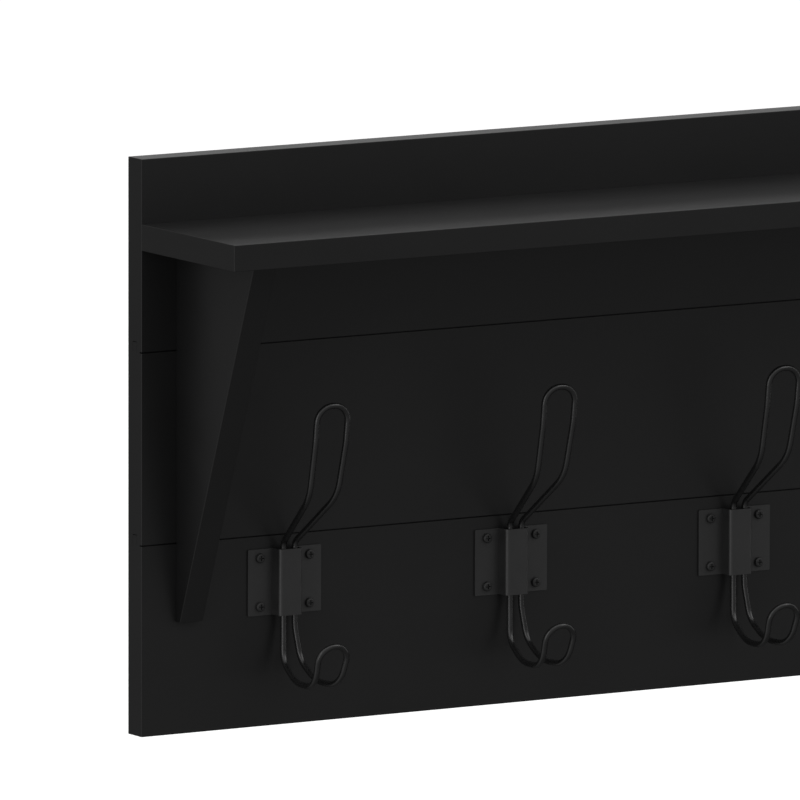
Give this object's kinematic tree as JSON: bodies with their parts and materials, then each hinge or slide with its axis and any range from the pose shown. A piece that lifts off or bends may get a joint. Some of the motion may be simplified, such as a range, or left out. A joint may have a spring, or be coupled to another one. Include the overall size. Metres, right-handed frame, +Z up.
{
  "type": "wall coat rack",
  "caption": "Wall-mounted board coat rack with a shelf on triangular brackets and bent-wire double hooks in steel clips.",
  "frame": {"origin": "centre of the back face, the face that lies on the wall", "axes": "+X along the rack to the viewer's right, +Y into the wall, +Z up; the hooks point along -Y"},
  "size_m": [0.946, 0.141, 0.395],
  "materials": {
    "black_board": "black satin lacquer over fibreboard",
    "wire_metal": "satin black powder coat on steel wire",
    "clip_metal": "matt black powder coat on sheet steel",
    "black_screw": "black oxide",
    "zinc_screw": "bright zinc plate",
    "hanger_steel": "zinc-plated pressed steel",
    "beech": "bare beech"
  },
  "bodies": {
    "root": {"plank_top": "black_board", "plank_middle": "black_board", "plank_bottom": "black_board", "shelf_board": "black_board", "bracket_left": "black_board", "bracket_right": "black_board", "hook_wire_1": "wire_metal", "hook_clip_1": "clip_metal", "hook_screws_1": "black_screw", "hook_wire_2": "wire_metal", "hook_clip_2": "clip_metal", "hook_screws_2": "black_screw", "hook_wire_3": "wire_metal", "hook_clip_3": "clip_metal", "hook_screws_3": "black_screw", "hook_wire_4": "wire_metal", "hook_clip_4": "clip_metal", "hook_screws_4": "black_screw", "hook_wire_5": "wire_metal", "hook_clip_5": "clip_metal", "hook_screws_5": "black_screw", "shelf_screws": "zinc_screw", "shelf_dowels": "beech", "bracket_screws_left": "zinc_screw", "bracket_dowels_left": "beech", "keyhole_hanger_left": "hanger_steel", "hanger_screws_left": "zinc_screw", "bracket_screws_right": "zinc_screw", "bracket_dowels_right": "beech", "keyhole_hanger_right": "hanger_steel", "hanger_screws_right": "zinc_screw"}
  },
  "joints": []
}
